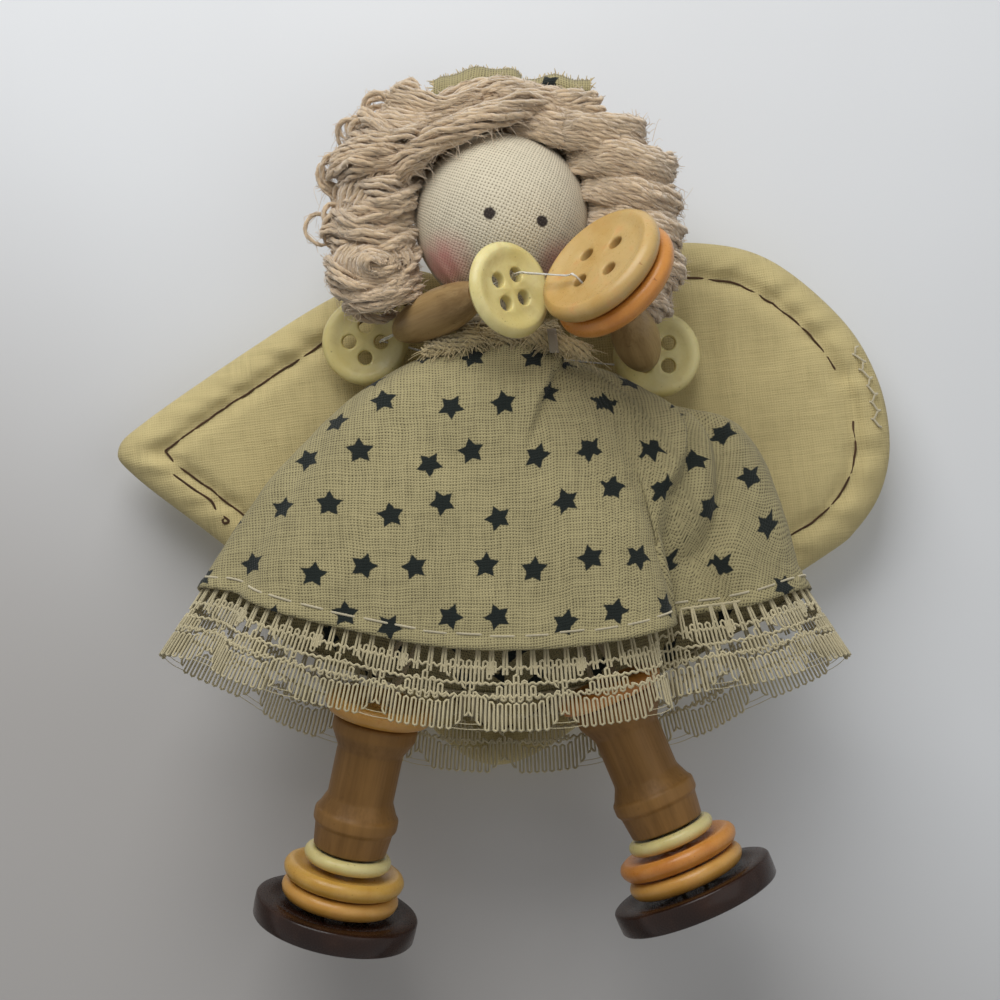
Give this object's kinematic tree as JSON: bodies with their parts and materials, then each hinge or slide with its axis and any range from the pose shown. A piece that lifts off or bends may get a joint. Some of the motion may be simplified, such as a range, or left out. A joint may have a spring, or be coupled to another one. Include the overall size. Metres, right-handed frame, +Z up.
{
  "type": "cloth_angel_magnet",
  "caption": "Cloth angel refrigerator magnet with yarn hair, padded heart wings, a star print dress with lace, and arms and legs strung from buttons, beads and spools",
  "frame": {"origin": "centre of the magnet's flat back face", "axes": "+Z up along the doll, +Y out of the magnet's back face towards the surface it holds to, +X to the viewer's right from the front"},
  "size_m": [0.1143, 0.05, 0.1256],
  "materials": {
    "muslin": "unbleached cotton muslin",
    "wing_muslin": "cream cotton muslin",
    "wadding": "cotton wadding",
    "star_cloth": "loosely woven cotton printed with dark stars",
    "lace": "cream knitted lace",
    "yarn": "crimped wool yarn",
    "cord": "waxed cotton cord",
    "clear_line": "clear nylon line",
    "wood": "turned wood, stained",
    "bead_wood": "turned wood, varnished",
    "yellow_plastic": "cast button, glossy",
    "peach_plastic": "cast button, translucent",
    "orange_plastic": "cast button, glossy",
    "brown_plastic": "cast button, glossy",
    "magnet": "pressed ferrite disc",
    "glue": "hot-melt glue"
  },
  "bodies": {
    "doll": {"magnet": "magnet", "magnet_glue": "glue", "wing_front": "wing_muslin", "wing_back": "wing_muslin", "wing_batting": "wadding", "head_ball": "wood", "head_cover": "muslin", "neck_tie": "cord", "hair_crown": "yarn", "hair_left": "yarn", "hair_right": "yarn", "hair_back": "yarn", "hair_bow": "star_cloth", "stuffed_body": "muslin", "dress": "star_cloth", "hem_lace": "lace", "collar": "muslin", "arm_line_neck": "clear_line"},
    "arm_string": {"arm_line_front": "clear_line"},
    "bead_left": {"arm_bead_left": "bead_wood"},
    "bead_right": {"arm_bead_right": "bead_wood"},
    "hand_yellow": {"hand_button_yellow": "yellow_plastic"},
    "hand_peach": {"hand_button_peach": "peach_plastic"},
    "hand_orange": {"hand_button_orange": "orange_plastic"},
    "shoulder_left": {"shoulder_button_left": "yellow_plastic"},
    "shoulder_right": {"shoulder_button_right": "yellow_plastic"},
    "left_hip": {"left_hip_knot": "cord"},
    "left_leg": {"left_leg_cord": "cord"},
    "left_spool": {"left_spool": "wood"},
    "left_upper": {"left_upper_button": "peach_plastic"},
    "left_ankle": {"left_ankle_button": "yellow_plastic"},
    "left_middle": {"left_middle_button": "yellow_plastic"},
    "left_lower": {"left_lower_button": "peach_plastic"},
    "left_foot": {"left_foot_button": "brown_plastic"},
    "right_hip": {"right_hip_knot": "cord"},
    "right_leg": {"right_leg_cord": "cord"},
    "right_spool": {"right_spool": "wood"},
    "right_upper": {"right_upper_button": "orange_plastic"},
    "right_ankle": {"right_ankle_button": "yellow_plastic"},
    "right_middle": {"right_middle_button": "orange_plastic"},
    "right_lower": {"right_lower_button": "peach_plastic"},
    "right_foot": {"right_foot_button": "brown_plastic"}
  },
  "joints": [
    {"name": "arms_swing", "type": "hinge", "parent": "doll", "child": "arm_string", "pos_m": [-0.0178, -0.0169, 0.0129], "axis": [0.9956, -0.0183, -0.0917], "range_deg": [0, 11]},
    {"name": "bead_left_spin", "type": "hinge", "parent": "arm_string", "child": "bead_left", "pos_m": [-0.0108, -0.02615, 0.0154], "axis": [0.5899, -0.7795, 0.2107], "continuous": true},
    {"name": "bead_right_spin", "type": "hinge", "parent": "arm_string", "child": "bead_right", "pos_m": [0.01825, -0.0271, 0.0123], "axis": [-0.1926, -0.9385, 0.2865], "continuous": true},
    {"name": "hand_yellow_turn", "type": "hinge", "parent": "arm_string", "child": "hand_yellow", "pos_m": [0.00048, -0.03658, 0.01994], "axis": [0.6008, -0.7811, 0.1702], "range_deg": [-20, 20]},
    {"name": "hand_peach_turn", "type": "hinge", "parent": "arm_string", "child": "hand_peach", "pos_m": [0.0112, -0.0414, 0.0176], "axis": [-0.6195, -0.5295, 0.5795], "range_deg": [-20, 7]},
    {"name": "hand_orange_turn", "type": "hinge", "parent": "arm_string", "child": "hand_orange", "pos_m": [0.0112, -0.0414, 0.0176], "axis": [-0.6195, -0.5295, 0.5795], "range_deg": [-20, 20]},
    {"name": "shoulder_left_turn", "type": "hinge", "parent": "doll", "child": "shoulder_left", "pos_m": [-0.0178, -0.0169, 0.0129], "axis": [0, -1, 0], "range_deg": [-25, 25]},
    {"name": "shoulder_right_turn", "type": "hinge", "parent": "doll", "child": "shoulder_right", "pos_m": [0.0202, -0.0176, 0.0094], "axis": [0, -1, 0], "range_deg": [-25, 25]},
    {"name": "left_hip_fore_aft", "type": "hinge", "parent": "doll", "child": "left_hip", "pos_m": [-0.005, -0.022, -0.0146], "axis": [1, 0, 0], "range_deg": [-8, 3]},
    {"name": "left_leg_sideways", "type": "hinge", "parent": "left_hip", "child": "left_leg", "pos_m": [-0.005, -0.022, -0.0146], "axis": [0, 1, 0], "range_deg": [-16, 16]},
    {"name": "left_spool_spin", "type": "hinge", "parent": "left_leg", "child": "left_spool", "pos_m": [-0.0173, -0.024, -0.0376], "axis": [0.2104, -0.1479, 0.9664], "continuous": true},
    {"name": "left_upper_turn", "type": "hinge", "parent": "left_leg", "child": "left_upper", "pos_m": [-0.0173, -0.024, -0.0376], "axis": [0.2104, -0.1479, 0.9664], "range_deg": [-12, 12]},
    {"name": "left_ankle_turn", "type": "hinge", "parent": "left_leg", "child": "left_ankle", "pos_m": [-0.0173, -0.024, -0.0376], "axis": [0.2104, -0.1479, 0.9664], "range_deg": [-12, 12]},
    {"name": "left_middle_turn", "type": "hinge", "parent": "left_leg", "child": "left_middle", "pos_m": [-0.0173, -0.024, -0.0376], "axis": [0.2104, -0.1479, 0.9664], "range_deg": [-12, 12]},
    {"name": "left_lower_turn", "type": "hinge", "parent": "left_leg", "child": "left_lower", "pos_m": [-0.0173, -0.024, -0.0376], "axis": [0.2104, -0.1479, 0.9664], "range_deg": [-12, 12]},
    {"name": "left_foot_turn", "type": "hinge", "parent": "left_leg", "child": "left_foot", "pos_m": [-0.0173, -0.024, -0.0376], "axis": [0.2104, -0.1479, 0.9664], "range_deg": [-12, 12]},
    {"name": "right_hip_fore_aft", "type": "hinge", "parent": "doll", "child": "right_hip", "pos_m": [0.005, -0.022, -0.0146], "axis": [1, 0, 0], "range_deg": [-8, 3]},
    {"name": "right_leg_sideways", "type": "hinge", "parent": "right_hip", "child": "right_leg", "pos_m": [0.005, -0.022, -0.0146], "axis": [0, 1, 0], "range_deg": [-8, 16]},
    {"name": "right_spool_spin", "type": "hinge", "parent": "right_leg", "child": "right_spool", "pos_m": [0.014, -0.024, -0.035], "axis": [-0.391, -0.012, 0.9203], "continuous": true},
    {"name": "right_upper_turn", "type": "hinge", "parent": "right_leg", "child": "right_upper", "pos_m": [0.014, -0.024, -0.035], "axis": [-0.391, -0.012, 0.9203], "range_deg": [-12, 12]},
    {"name": "right_ankle_turn", "type": "hinge", "parent": "right_leg", "child": "right_ankle", "pos_m": [0.014, -0.024, -0.035], "axis": [-0.391, -0.012, 0.9203], "range_deg": [-12, 12]},
    {"name": "right_middle_turn", "type": "hinge", "parent": "right_leg", "child": "right_middle", "pos_m": [0.014, -0.024, -0.035], "axis": [-0.391, -0.012, 0.9203], "range_deg": [-12, 12]},
    {"name": "right_lower_turn", "type": "hinge", "parent": "right_leg", "child": "right_lower", "pos_m": [0.014, -0.024, -0.035], "axis": [-0.391, -0.012, 0.9203], "range_deg": [-12, 12]},
    {"name": "right_foot_turn", "type": "hinge", "parent": "right_leg", "child": "right_foot", "pos_m": [0.014, -0.024, -0.035], "axis": [-0.391, -0.012, 0.9203], "range_deg": [-12, 12]}
  ]
}
